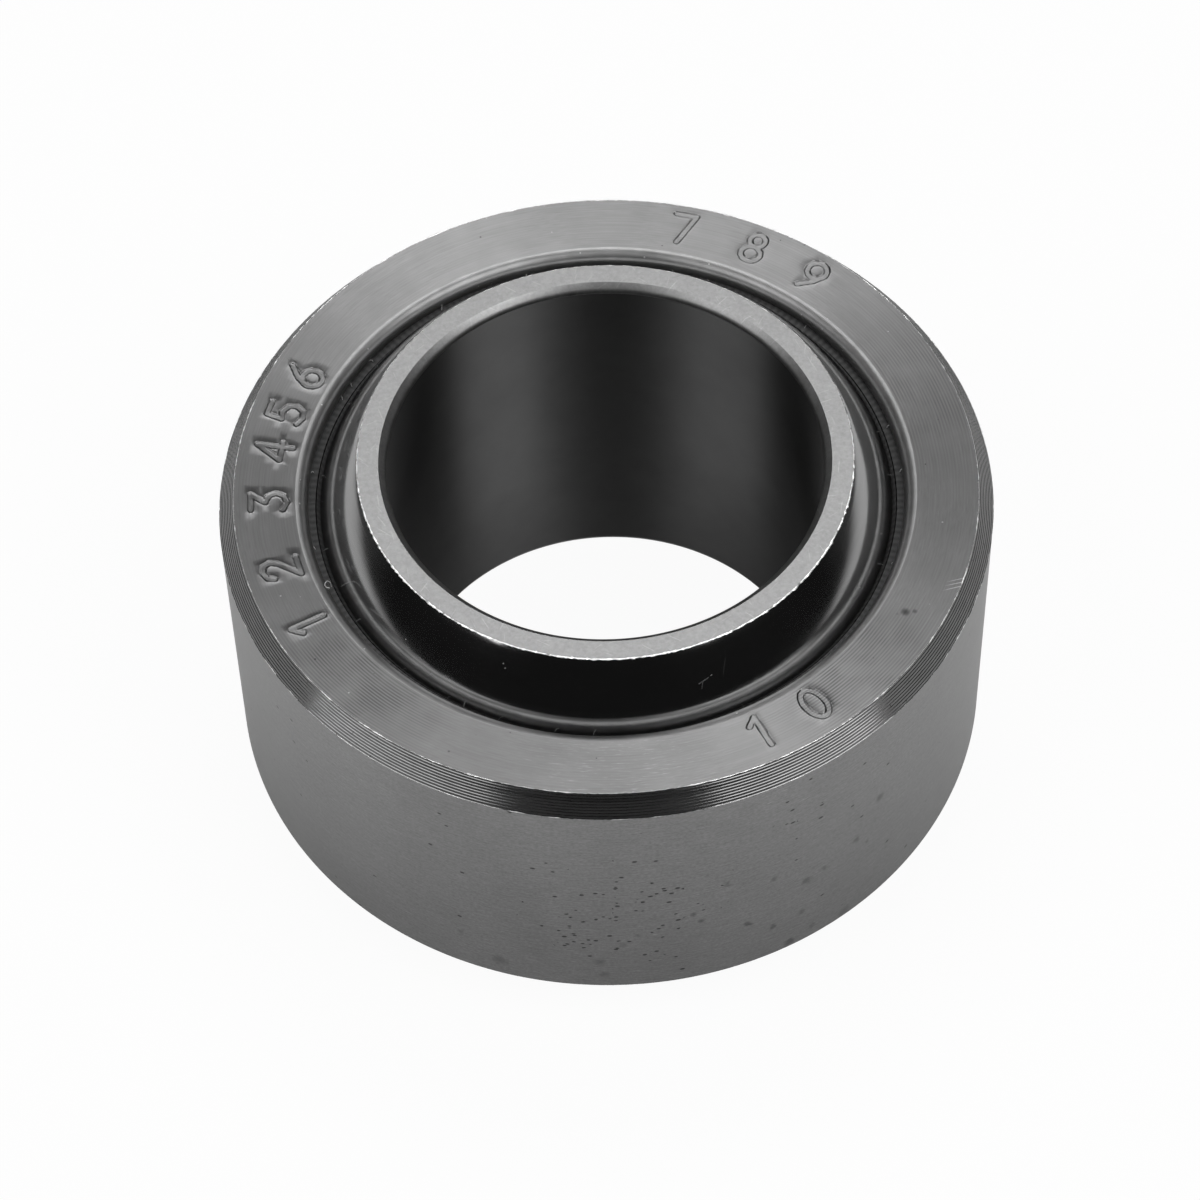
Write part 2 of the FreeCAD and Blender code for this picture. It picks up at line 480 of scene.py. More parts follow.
ragged = ragged.smooth(RIM_HALF_WIDTH / MM + 0.27, RIM_HALF_WIDTH / MM + 0.31)
# Painted shade: the outside's grey grows darker towards its bottom, standing in for the shadowed floor
# that it mirrors near its foot.
shade = (0.20 + 0.0034 * upwards) * (0.24 + 0.62 * streaks + 0.90 * grain) * (0.86 + 0.28 * clouds)
shade = shade * (1 + 0.50 * bright_streaks) * (1 - 0.5 * stains) * (1 - 0.8 * pits) * (1 - 0.6 * ragged)
feed(ground_surface, "Base Color", grey(shade))
feed(ground_surface, "Roughness", 0.24 + 0.08 * grain + 0.06 * clouds)
feed(ground_surface, "Normal", bump(streaks * 0.4 + grain * 0.5 - pits * 3.0, 0.0010 * MM))

turned_steel, turned_surface, turned_place = bare_finish("turned_steel", 0.2, 0.10, 0.3)
turned_flat = unrolled(turned_place, outside)
along = turned_flat.stretched(0.8, 6.0, 6.0).noise(1.0, 2.0, 0.6)
nicks = flecks(turned_flat.stretched(2.2, 1.0, 1.0), 0.30, 0.10, 0.30)
feed(turned_surface, "Base Color", grey(0.178 * (0.66 + 0.68 * along) * (1 - 0.6 * nicks)))
feed(turned_surface, "Roughness", 0.15 + 0.10 * nicks)

# Where the marks of the upper face lie, in millimetres.
FACE_TOP = 8.9
FACE_MIDDLE = 17.4
FACE_UNROLLED = 17.5
FEED_PITCH = 0.16


def on_top(direction, radius=FACE_MIDDLE):
    """A point of the upper face, from its direction and its distance from the axis."""
    return round_the_bore(direction, radius, FACE_TOP)


faced_steel, faced_surface, faced_place = bare_finish("faced_steel", 0.2, 0.36, 0.85)
faced_flat = unrolled(faced_place, FACE_UNROLLED)
from_axis = radius_of(faced_place)
drift = faced_place.stretched(0.10, 0.10, 0).noise(1.0, 2.0, 0.5)
ring_place = from_axis.node("ShaderNodeCombineXYZ", {}, {"X": from_axis, "Y": drift * 1.5, "Z": 0.0})
fine_rings = ring_place.noise(14.0, 2.0, 0.7)
wide_rings = ring_place.noise(2.2, 2.0, 0.5)
feed_marks = ((from_axis + drift * 0.3) * (math.tau / FEED_PITCH)).math("COSINE") * 0.5 + 0.5
marked_places = [(on_top(-136), 6.5, 1.0), (on_top(-45, 17.2), 6.5, 1.0), (on_top(20), 7.0, 0.5)]
marked = patches(faced_place, marked_places)
marked = marked * (0.4 + 0.6 * faced_place.noise(0.6, 2.0).smooth(0.3, 0.7)) + 0.08
rubbed = patches(faced_place, [(on_top(-90), 7.5, 1.0)])
rubs = faced_flat.stretched(1.3, 14.0, 0).noise(1.0, 2.0, 0.6).smooth(0.56, 0.76) * rubbed
dull = faced_place.noise(0.35, 3.0, 0.6)
# Painted light and shade: the back of the upper face is lightened and its front left darkened, as the
# lamps fall on it.
painted_light_back = patches(faced_place, [(on_top(96), 19.0, 1.0)])
painted_shade_front_left = patches(faced_place, [(on_top(-118), 9.0, 1.0)])
specks = flecks(faced_place, 0.42, 0.05, 0.16)
dust = flecks(faced_place.stretched(1, 1, 1, (5, 3, 0)), 0.50, 0.04, 0.12)
edge_wear = from_axis + faced_flat.stretched(4.0, 0, 0).noise(1.0, 2.0, 0.7) * 0.7
edge_wear = edge_wear.smooth(FACE_EDGE_RADIUS / MM + 0.33, FACE_EDGE_RADIUS / MM + 0.40)
FACE_SCRATCHES = [
    (on_top(-114.6, 16.8), on_top(-113.3, 17.3), 1.0),
    (on_top(-113.3, 17.3), on_top(-111.8, 17.5), 0.8),
    (on_top(-24.0, 18.2), on_top(-22.0, 19.1), 1.6),
    (on_top(-23.0, 18.2), on_top(-21.2, 19.1), 1.6),
    (on_top(-22.0, 18.3), on_top(-20.4, 19.1), 1.3),
    (on_top(-39.5, 16.2), on_top(-36.5, 16.9), 1.0),
]
FACE_PITS = [
    (on_top(-116.3, 18.16), 0.10, 1.0),
    (on_top(-159.1, 16.3), 0.10, 1.0),
    (on_top(-30.2, 17.1), 0.34, 1.0),
    (on_top(-29.4, 17.5), 0.20, 0.8),
    (on_top(-31.2, 16.8), 0.16, 0.6),
]
face_scratches = scratches(faced_place, FACE_SCRATCHES, 0.035)
face_pits = patches(faced_place, FACE_PITS)
shade = 0.20 * (0.68 + 0.46 * fine_rings + 0.18 * wide_rings) * (0.84 + 0.32 * dull)
shade = shade * (1 + 0.16 * painted_light_back - 0.18 * painted_shade_front_left)
shade = shade * (1 - 0.5 * feed_marks * marked) * (1 - 0.6 * specks) * (1 - 0.7 * face_pits)
shade = shade * (1 + 0.55 * rubs + 0.9 * face_scratches + 1.2 * dust + 0.4 * edge_wear)
feed(faced_surface, "Base Color", grey(shade))
feed(faced_surface, "Roughness", 0.32 + 0.10 * fine_rings)
faced_height = feed_marks * marked * 0.6 + fine_rings * 0.8 - specks * 2.0
feed(faced_surface, "Normal", bump(faced_height, 0.0022 * MM))

lip_steel, lip_surface, lip_place = bare_finish("rolled_lip_steel", 0.2, 0.38)
lip_rings = lip_place.stretched(0.5, 0.5, 8.0).noise(1.0, 2.0, 0.6)
lip_clouds = lip_place.noise(0.9, 2.0, 0.6)
lip_specks = flecks(lip_place, 0.34, 0.08, 0.20)
shade = 0.25 * (0.85 + 0.2 * lip_rings) * (0.75 + 0.5 * lip_clouds) * (1 + 1.6 * lip_specks)
feed(lip_surface, "Base Color", grey(shade))
feed(lip_surface, "Roughness", 0.36 + 0.08 * lip_rings)

chamfer = turning_marks((RACE_RADIUS, RIM_HALF_WIDTH), (FACE_EDGE_RADIUS, RACE_HALF_WIDTH))


def face_height(radius):
    """Swaging leaves each face a little dished: its height at this distance from the axis."""
    return RACE_HALF_WIDTH - (FACE_EDGE_RADIUS - radius) * FACE_DISH


LIP_TOP_RADIUS = 15.88 * MM
lip_centre_height = face_height(LIP_TOP_RADIUS) - LIP_ROUND
lip_centre = (math.sqrt((SEAT_RADIUS + LIP_ROUND) ** 2 - lip_centre_height ** 2), lip_centre_height)
lip_turn = math.degrees(math.atan2(lip_centre[1], lip_centre[0]))
FACE_MOUTH_RADIUS = lip_centre[0]
lip = [(FACE_MOUTH_RADIUS, face_height(FACE_MOUTH_RADIUS))]
lip += arc(lip_centre, LIP_ROUND, 92, 180 + lip_turn, 12)
seat = arc((0, 0), SEAT_RADIUS, lip_turn, -lip_turn, 12)[1:-1]

# The figures' strokes, in a box one high, about a middle line, and each one's place: what
# it is, the direction it lies in, its foot's radius and whether its top points outwards.
FIGURE_HEIGHT = 1.85
FIGURE_MIDDLE = 0.31


def loop(x, y, across, high, count):
    """A closed oval stroke."""
    turns = [math.tau * i / count for i in range(count + 1)]
    return [(x + across * math.sin(a), y + high * math.cos(a)) for a in turns]


FIGURE_STROKES = {
    "0": [loop(FIGURE_MIDDLE, 0.5, 0.29, 0.5, 16)],
    "1": [[(0.10, 0.76), (0.36, 1.0), (0.36, 0.0)]],
    "2": [
        [(0.02, 0.74), (0.08, 0.92), (0.30, 1.0), (0.52, 0.93)]
        + [(0.59, 0.74), (0.5, 0.53), (0, 0), (0.62, 0)],
    ],
    "3": [
        [(0.04, 1.0), (0.58, 1.0), (0.28, 0.60), (0.50, 0.52), (0.60, 0.30), (0.50, 0.08), (0.28, 0.0)],
        [(0.28, 0.0), (0.02, 0.12)],
    ],
    "4": [[(0.46, 0.0), (0.46, 1.0), (0.0, 0.30), (0.62, 0.30)]],
    "5": [
        [(0.56, 1.0), (0.10, 1.0), (0.05, 0.56), (0.30, 0.62), (0.54, 0.50), (0.60, 0.28)],
        [(0.60, 0.28), (0.46, 0.05), (0.24, 0.0), (0.0, 0.10)],
    ],
    "6": [[(0.50, 1.0), (0.18, 0.66), (0.02, 0.34)], loop(FIGURE_MIDDLE, 0.29, 0.29, 0.29, 12)],
    "7": [[(0.0, 1.0), (0.60, 1.0), (0.22, 0.0)]],
    "8": [loop(FIGURE_MIDDLE, 0.77, 0.23, 0.23, 12), loop(FIGURE_MIDDLE, 0.27, 0.29, 0.27, 12)],
    "9": [[(0.12, 0.0), (0.44, 0.34), (0.60, 0.66)], loop(FIGURE_MIDDLE, 0.71, 0.29, 0.29, 12)],
}
FIGURE_PLACES = [
    ("1", -151, 16.3, True),
    ("2", -163.5, 16.3, True),
    ("3", -178, 16.3, True),
    ("4", -189, 16.3, True),
    ("5", -197.5, 16.3, True),
    ("6", -206, 16.3, True),
    ("7", 75, 16.6, True),
    ("8", 62, 16.6, True),
    ("9", 50, 16.6, True),
    ("1", -65, 18.1, False),
    ("0", -54.5, 18.1, False),
]

# How far from a stroke's line its flat floor, its sloping side and its raised rim reach,
# how fine the mesh is there, and the rings of points where the mesh is coarse.
STROKE_FLOOR = 0.11
STROKE_TOP = 0.19
STROKE_RIM = 0.26
STAMP_GRID = 0.04
COARSE_RINGS = (16.3, 16.75, 17.2, 17.65, 18.1, 18.55)
COARSE_POINTS = 240


def figure_lines():
    """Each figure's strokes where they lie on the face, in millimetres."""
    lines = []
    for figure, direction, foot, top_outwards in FIGURE_PLACES:
        a = math.radians(direction)
        outwards = Vector((math.cos(a), math.sin(a)))
        up = outwards if top_outwards else -outwards
        across = Vector((up.y, -up.x))
        start = outwards * foot - across * FIGURE_MIDDLE * FIGURE_HEIGHT
        for stroke in FIGURE_STROKES[figure]:
            lines.append([start + (across * x + up * y) * FIGURE_HEIGHT for x, y in stroke])
    return lines


def on_face(spot):
    """A point of the dished face, from its place in millimetres."""
    return (spot.x * MM, spot.y * MM, face_height(spot.length * MM))


def near_stroke(point, start, end, reach):
    """Whether a point of the face lies within reach of a straight stroke."""
    run = end - start
    share = max(0, min(1, (point - start).dot(run) / run.length_squared))
    return (start + run * share - point).length < reach


def struck_near(point, lines):
    """Whether a point of the face lies where the mesh is already fine."""
    reach = STROKE_RIM + STAMP_GRID
    return any(near_stroke(point, *run, reach) for line in lines for run in zip(line, line[1:]))


def ring_points(radius, count):
    """Points spaced evenly round a circle of this radius."""
    turns = [math.tau * i / count for i in range(count)]
    return [Vector((radius * math.cos(a), radius * math.sin(a))) for a in turns]


def faced_ring(lines):
    """The upper face as a mesh, a little dished, and fine where strokes will be struck."""
    points = []
    for radius in (FACE_EDGE_RADIUS / MM, FACE_MOUTH_RADIUS / MM):
        points += ring_points(radius, RACE_SEGMENTS)
    fine = {}
    for line in lines:
        for start, end in zip(line, line[1:]):
            low = [math.floor((min(start[k], end[k]) - STROKE_RIM) / STAMP_GRID) for k in (0, 1)]
            high = [math.ceil((max(start[k], end[k]) + STROKE_RIM) / STAMP_GRID) for k in (0, 1)]
            for i in range(low[0], high[0]):
                for j in range(low[1], high[1]):
                    spot = Vector((i + (j % 2) / 2, j)) * STAMP_GRID
                    if near_stroke(spot, start, end, STROKE_RIM):
                        fine[(i, j)] = spot
    points += [fine[key] for key in sorted(fine)]
    for radius in COARSE_RINGS:
        coarse = ring_points(radius, COARSE_POINTS)
        points += [spot for spot in coarse if not struck_near(spot, lines)]
    edges = []
    for first in (0, RACE_SEGMENTS):
        edges += [(first + i, first + (i + 1) % RACE_SEGMENTS) for i in range(RACE_SEGMENTS)]
    spots, _, faces, *_ = delaunay_2d_cdt(points, edges, [], 0, 1e-7)
    mouth = FACE_MOUTH_RADIUS / MM * 0.9999
    kept = [f for f in faces if sum((spots[i] for i in f), Vector((0, 0))).length / 3 > mouth]
    mesh = bpy.data.meshes.new("upper_face")
    mesh.from_pydata([on_face(spot) for spot in spots], [], kept)
    return mesh


def stamp_tree():
    """The punch: sinks a flat-bottomed trough along every stroke and raises its rims."""
    sizes = ["Depth", "Rim Height", "Floor", "Top", "Reach"]
    given = new_tree(
        "struck_figures",
        [("Face", "Geometry"), ("Strokes", "Object"), ("Finish", "Material")]
        + [(size, "Float") for size in sizes],
    )
    strokes = object_mesh(given, "Strokes")
    near = given.node("GeometryNodeProximity", {"target_element": "EDGES"}, {0: strokes})
    distance = near.out("Distance")
    place = given.node("GeometryNodeInputPosition", {}, {})
    uneven = place.in_millimetres().noise(0.9, 1.0)
    floor, top, reach = (given.out(size) for size in ("Floor", "Top", "Reach"))
    sunk = distance.smooth(floor, top, 1.0, 0.0)
    rim = distance.smooth(floor, top) * distance.smooth(top, reach, 1.0, 0.0)
    drop = rim * given.out("Rim Height") - sunk * given.out("Depth") * (0.55 + 0.9 * uneven)
    struck = given.node("GeometryNodeSetPosition", {}, {"Geometry": given, "Offset": straight_up(drop)})
    return end_tree(given, struck)


strokes = line_object("strokes", [[on_face(spot) for spot in line] for line in figure_lines()])
stamp = {
    "Strokes": strokes,
    "Finish": faced_steel,
    "Depth": 0.045 * MM,
    "Rim Height": 0.008 * MM,
    "Floor": STROKE_FLOOR * MM,
    "Top": STROKE_TOP * MM,
    "Reach": STROKE_RIM * MM,
}
upper_face = run_tree("upper_face", stamp_tree(), stamp, faced_ring(figure_lines()))
bpy.data.objects.remove(strokes)

rim_rows = [RIM_HALF_WIDTH * k for k in (-1, -0.99, -0.9, -0.6, -0.3, 0, 0.3, 0.6, 0.9, 0.99, 1)]
lower_face_rows = [(r, -face_height(r)) for r in (FACE_MOUTH_RADIUS, FACE_EDGE_RADIUS)]
race_parts = [
    turned("outside", [(RACE_RADIUS, z) for z in rim_rows], RACE_SEGMENTS, ground_steel),
    turned("upper_chamfer", chamfer, RACE_SEGMENTS, turned_steel),
    upper_face,
    turned("lips_and_seat", lip + seat + mirrored(lip), RACE_SEGMENTS, lip_steel),
    turned("lower_face", lower_face_rows, RACE_SEGMENTS, faced_steel),
    turned("lower_chamfer", mirrored(chamfer), RACE_SEGMENTS, turned_steel),
]
race = welded("swaged_race", race_parts, 22)


def burr_tree():
    """A burr: a ragged thread of bright metal along a round edge, broken where it wore off."""
    sizes = ["Radius", "Height", "Thickness", "Wander", "Share", "Back Share", "Seed"]
    sizes += ["Radius Limit", "Height Limit"]
    given = new_tree(
        "burr_along_an_edge",
        [("Points", "Int"), ("Finish", "Material")] + [(size, "Float") for size in sizes],
    )
    place = given.node("GeometryNodeInputPosition", {}, {})
    values = {"Resolution": given.out("Points"), "Radius": given.out("Radius")}
    circle = given.node("GeometryNodeCurvePrimitiveCircle", {}, values)
    seeded = vector("ADD", place.in_millimetres(), straight_up(given.out("Seed")))
    coarse = seeded.noise(0.8, 2.0)
    fine = seeded.noise(5.0, 2.0, 0.7)
    shake = vector("SUBTRACT", seeded.noise(3.5, 2.0).out("Color"), (0.5, 0.5, 0.5))
    values = {0: shake, "Scale": given.out("Wander")}
    shake = given.node("ShaderNodeVectorMath", {"operation": "SCALE"}, values)
    offset = vector("ADD", shake, straight_up(given.out("Height")))
    moved = given.node("GeometryNodeSetPosition", {}, {"Geometry": circle, "Offset": offset})
    gate = 0.62 - given.out("Share") * 0.3
    whole = coarse.smooth(gate, gate + 0.10)
    at = place.split()
    worn = (at.out("Y") / given.out("Radius")).smooth(-0.4, 0.4, 1.0, given.out("Back Share"))
    size = given.out("Thickness") * (0.16 + whole * fine.smooth(0.25, 0.75) * 1.3) * worn
    thread = given.node("GeometryNodeCurvePrimitiveCircle", {}, {"Resolution": 6, "Radius": 1.0})
    values = {"Curve": moved, "Profile Curve": thread, "Scale": size}
    tube = given.node("GeometryNodeCurveToMesh", {}, values)
    reach = (at.out("X") * at.out("X") + at.out("Y") * at.out("Y")).math("SQRT")
    pull = (given.out("Radius Limit") / reach).math("MINIMUM", 1.0)
    highest = given.out("Height Limit")
    height = at.out("Z").math("MINIMUM", highest).math("MAXIMUM", highest * -1)
    values = {"X": at.out("X") * pull, "Y": at.out("Y") * pull, "Z": height}
    kept = given.node("ShaderNodeCombineXYZ", {}, values)
    held = given.node("GeometryNodeSetPosition", {}, {"Geometry": tube, "Position": kept})
    return end_tree(given, held)


BURR = burr_tree()


def burr(name, radius, height, thickness, wander, share, points, seed, limits, back=1.0):
    """One burr, kept within a radius and a height; thickness and wander are in millimetres."""
    inputs = {
        "Radius": radius,
        "Height": height,
        "Thickness": thickness * MM,
        "Wander": wander * MM,
        "Share": share,
        "Back Share": back,
        "Points": points,
        "Seed": float(seed),
        "Radius Limit": limits[0],
        "Height Limit": limits[1],
        "Finish": burr_steel,
    }
    return run_tree(name, BURR, inputs)


def with_extras(piece, extras):
    """Add small closed bodies, such as burrs, to a piece without joining their faces to it."""
    shape = bmesh.new()
    shape.from_mesh(piece.data)
    for extra in extras:
        first = len(shape.faces)
        shape.from_mesh(extra.data)
        shape.faces.ensure_lookup_table()
        number = finish_number(piece.data, extra)
        added = shape.faces[first:]
        for face in added:
            face.material_index = number
            face.smooth = True
        bmesh.ops.recalc_face_normals(shape, faces=added)
        bpy.data.objects.remove(extra)
    shape.to_mesh(piece.data)
    shape.free()


burr_steel = bare_finish("bright_burr", 0.95, 0.38)[0]
race_limits = (RACE_RADIUS, RACE_HALF_WIDTH + 0.02 * MM)
race_burrs = [
    burr("upper_burr", FACE_EDGE_RADIUS, RACE_HALF_WIDTH, 0.034, 0.06, 0.45, 1080, 3, race_limits),
    burr("rim_burr", RACE_RADIUS, RIM_HALF_WIDTH, 0.028, 0.06, 0.35, 1080, 17, race_limits),
    burr("lower_rim_burr", RACE_RADIUS, -RIM_HALF_WIDTH, 0.018, 0.03, 0.4, 720, 29, race_limits),
    burr("lower_burr", FACE_EDGE_RADIUS, -RACE_HALF_WIDTH, 0.020, 0.03, 0.6, 720, 41, race_limits),
]
with_extras(race, race_burrs)
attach(race, "race")
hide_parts("outer_race")

# Liner: a strip of woven, resin-filled fabric, bonded to the race's seat and trimmed
# below its lips. Short ends of yarn and one longer curl stand out of its upper edge.

LINER_RADIUS = 16.8302 * MM
LINER_HALF_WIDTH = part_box("fabric_liner")[1].z
LINER_BACK = SEAT_RADIUS - 0.005 * MM
FRINGE_RADIUS = 15.16 * MM
YARN_RADIUS = 0.018 * MM
YARN_PITCH = 0.45
WEAVE_RADIUS = 16.8

liner_cloth, liner_surface, liner_place = bare_finish("liner_cloth", 0.05, 0.85, metallic=0)
liner_flat = unrolled(liner_place, WEAVE_RADIUS).split()
warp = (liner_flat.out("X") * (math.tau / YARN_PITCH)).math("SINE")
weft = (liner_flat.out("Z") * (math.tau / YARN_PITCH)).math("SINE")
weave = warp * weft * 0.5 + 0.5
fuzz = liner_place.noise(6.0, 2.0, 0.7)
feed(liner_surface, "Base Color", grey(0.02 + 0.03 * weave + 0.03 * fuzz))
feed(liner_surface, "Normal", bump(weave + fuzz * 0.5, 0.03 * MM))

bare_yarn = bare_finish("bare_yarn", 0.6, 0.7, metallic=0)[0]


def thread_tree():
    """Threads: every line of an object becomes a thin round thread."""
    given = new_tree(
        "threads_along_lines", [("Lines", "Object"), ("Radius", "Float"), ("Finish", "Material")]
    )
    path = given.node("GeometryNodeMeshToCurve", {}, {"Mesh": object_mesh(given, "Lines")})
    values = {"Resolution": 6, "Radius": given.out("Radius")}
    round_section = given.node("GeometryNodeCurvePrimitiveCircle", {}, values)
    values = {"Curve": path, "Profile Curve": round_section, "Fill Caps": True}
    return end_tree(given, given.node("GeometryNodeCurveToMesh", {}, values))


THREADS = thread_tree()


def fringe_tree():
    """A fringe: short threads that stand round a circle, each picked, turned and sized by chance."""
    given = new_tree(
        "fringe_round_an_edge",
        [("Thread", "Object"), ("Points", "Int"), ("Radius", "Float"), ("Height", "Float")]
        + [("Share", "Float"), ("Finish", "Material")],
    )
    values = {"Resolution": given.out("Points"), "Radius": given.out("Radius")}
    circle = given.node("GeometryNodeCurvePrimitiveCircle", {}, values)
    spots = given.node("GeometryNodeCurveToPoints", {"mode": "EVALUATED"}, {"Curve": circle})
    values = {"Geometry": spots, "Offset": straight_up(given.out("Height"))}
    raised = given.node("GeometryNodeSetPosition", {}, values)
    number = given.node("GeometryNodeInputIndex", {}, {})
    chance = given.node("ShaderNodeTexWhiteNoise", {"noise_dimensions": "1D"}, {"W": number})
    dice = chance.out("Color").split()
    at = given.node("GeometryNodeInputPosition", {}, {}).split()
    direction = at.out("Y").math("ARCTAN2", at.out("X"))
    values = {"X": (dice.out("Y") - 0.5) * 0.9, "Y": 0.0, "Z": direction + (dice.out("Z") - 0.5) * 2.4}
    turn = given.node("ShaderNodeCombineXYZ", {}, values)
    values = {
        "Points": raised,
        "Selection": dice.out("X").math("LESS_THAN", given.out("Share")),
        "Instance": object_mesh(given, "Thread"),
        "Rotation": turn,
        "Scale": 0.45 + 0.9 * dice.out("Y"),
    }
    return end_tree(given, given.node("GeometryNodeInstanceOnPoints", {}, values))


front_angle = math.degrees(math.asin(LINER_HALF_WIDTH / LINER_RADIUS))
back_angle = math.degrees(math.asin(LINER_HALF_WIDTH / LINER_BACK))
liner_front = arc((0, 0), LINER_RADIUS, front_angle, -front_angle, 24)
liner_back = arc((0, 0), LINER_BACK, -back_angle, back_angle, 24)
liner_ring = turned("liner_ring", liner_front + liner_back + liner_front[:1], 360, liner_cloth)
liner = welded("woven_liner", [liner_ring], 40)

# One short yarn end, from its root up, and the points of the longer curl: a direction,
# a radius and a height each. Both are in millimetres.
BENT_END = [(0, 0, -0.10), (0.02, 0, 0.08), (0.08, 0.01, 0.22), (0.17, 0.04, 0.32), (0.27, 0.09, 0.36)]
CURL = [
    (-158.4, 15.05, 8.10),
    (-158.2, 15.10, 8.55),
    (-157.9, 15.25, 8.85),
    (-157.4, 15.42, 8.98),
    (-156.8, 15.52, 9.02),
    (-156.1, 15.50, 9.04),
    (-155.7, 15.36, 9.04),
]


def yarn(name, points):
    """A thread of yarn along these points, given in millimetres."""
    line = line_object(name + "_line", [[tuple(c * MM for c in point) for point in points]])
    made = run_tree(name, THREADS, {"Lines": line, "Radius": YARN_RADIUS, "Finish": bare_yarn})
    bpy.data.objects.remove(line)
    return made


bent_thread = yarn("bent_thread", BENT_END)
curled_thread = yarn("curled_thread", [round_the_bore(*point) for point in CURL])
fringe = {
    "Thread": bent_thread,
    "Points": 96,
    "Radius": FRINGE_RADIUS,
    "Height": LINER_HALF_WIDTH,
    "Share": 0.2,
    "Finish": bare_yarn,
}
upper_fringe = run_tree("upper_fringe", fringe_tree(), fringe)
bpy.data.objects.remove(bent_thread)
with_extras(liner, [upper_fringe, curled_thread])
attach(liner, "race")
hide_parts("fabric_liner")

# Bored ball: a hardened steel ball, bored for its shaft, with both ends ground flat.
# Its sphere is lapped to a mirror; the ends keep their grinding scratches, and the
# sharp outer edge of each end carries a fine burr.

BALL_RADIUS = 16.8002 * MM
BALL_HALF_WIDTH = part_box("inner_ball")[1].z
BORE_RADIUS = SIZES["shaft_bore"]["r_mm"] * MM
BORE_HALF_LENGTH = SIZES["shaft_bore"]["length_mm"] * MM / 2
BORE_CHAMFER = BALL_HALF_WIDTH - BORE_HALF_LENGTH
END_RADIUS = math.sqrt(BALL_RADIUS ** 2 - BALL_HALF_WIDTH ** 2)
END_DISH = 0.03 * MM
EDGE_BREAK_DEGREES = 0.19
BALL_SEGMENTS = 400

lapped_steel, lapped_surface, lapped_place = bare_finish("lapped_steel", 0.4, 0.11)
lapped_rings = lapped_place.stretched(0.3, 0.3, 9.0).noise(1.0, 3.0, 0.65)
haze = lapped_place.noise(0.5, 3.0, 0.6)

# Faint scratches of the ball: direction and rise of each start and end, and its strength.
BALL_SCRATCHES = [
    ((-65.0, 37.4), (-66.4, 34.9), 0.25),
    ((-71.9, 34.6), (-69.6, 35.2), 0.4),
    ((-71.0, 34.8), (-71.5, 33.6), 0.4),
    ((-69.0, 35.4), (-68.8, 35.5), 0.8),
    ((-113.6, 37.9), (-113.5, 38.0), 0.8),
    ((-113.0, 37.2), (-112.9, 37.3), 0.8),
]


def on_ball(direction, rise):
    """A point of the ball, from its direction and how high it stands, in degrees."""
    a = math.radians(rise)
    reach = BALL_RADIUS / MM
    return round_the_bore(direction, reach * math.cos(a), reach * math.sin(a))


ball_lines = [(on_ball(*start), on_ball(*end), strength) for start, end, strength in BALL_SCRATCHES]
ball_scratches = scratches(lapped_place, ball_lines, 0.02)
ball_dust = flecks(lapped_place, 0.60, 0.05, 0.09)
shade = 0.4 * (0.90 + 0.2 * lapped_rings)
feed(lapped_surface, "Base Color", grey(shade * (1 + 1.2 * ball_dust)))
feed(lapped_surface, "Roughness", 0.08 + 0.05 * haze + 0.5 * ball_scratches.math("MAXIMUM", ball_dust))
lapped_height = lapped_rings * 0.3 - ball_scratches * 4.0 + ball_dust * 6.0
feed(lapped_surface, "Normal", bump(lapped_height, 0.0012 * MM))

# Painted shade: the bore's steel gets a darker grey than the rest, which stands in for the shade deep in
# the bore; its clouds are its own mottling.
honed_steel_painted_shade, honed_surface, honed_place = bare_finish("honed_bore_painted_shade", 0.12, 0.5, 1.0)
bore_clouds = honed_place.noise(0.4, 3.0, 0.6)
feed(honed_surface, "Base Color", grey(0.12 * (0.86 + 0.28 * bore_clouds)))


def scuffs(flat, size, share, length, width):
    """Short straight marks that lie every way on a flat face, one to a cell at most."""
    scaled = flat.stretched(1 / size, 1 / size, 0)
    settings = {"voronoi_dimensions": "2D"}
    cells = flat.node("ShaderNodeTexVoronoi", settings, {"Vector": scaled, "Scale": 1.0})
    pick = cells.node("ShaderNodeSeparateColor", {}, {0: cells.out("Color")})
    at = vector("SUBTRACT", scaled, cells.out("Position")).split()
    turn = pick.out("Red") * math.pi
    cosine = turn.math("COSINE")
    sine = turn.math("SINE")
    along = (at.out("X") * cosine + at.out("Y") * sine).math("ABSOLUTE")
    across = (at.out("Y") * cosine - at.out("X") * sine).math("ABSOLUTE")
    inside = (along / length).smooth(0.5, 1.0, 1.0, 0.0) * (across / width).smooth(0.4, 1.0, 1.0, 0.0)
    return inside * pick.out("Blue").math("LESS_THAN", share)


end_steel, end_surface, end_place = bare_finish("ground_end_steel", 0.2, 0.33)
mottle = end_place.noise(0.9, 3.0, 0.65)
grind = scuffs(end_place, 0.8, 0.55, 0.45, 0.035)
deep_grind = scuffs(end_place.stretched(1, 1, 1, (7, 3, 0)), 1.3, 0.40, 0.36, 0.026)
fine_mottle = end_place.noise(5.0, 2.0, 0.6)
shade = 0.29 * (0.58 + 0.36 * mottle + 0.50 * fine_mottle) * (1 + 0.16 * grind + 0.24 * deep_grind)
feed(end_surface, "Base Color", grey(shade))
feed(end_surface, "Roughness", 0.34 + 0.16 * mottle)

end_angle = math.degrees(math.asin(BALL_HALF_WIDTH / BALL_RADIUS))
sphere_angle = end_angle - EDGE_BREAK_DEGREES
sphere = arc((0, 0), BALL_RADIUS, -sphere_angle, sphere_angle, 72)
edge_rows = [sphere[-1], (END_RADIUS - 0.01 * MM, BALL_HALF_WIDTH)]
end_rows = [edge_rows[-1], (BORE_RADIUS + BORE_CHAMFER * 0.88, BALL_HALF_WIDTH - END_DISH)]

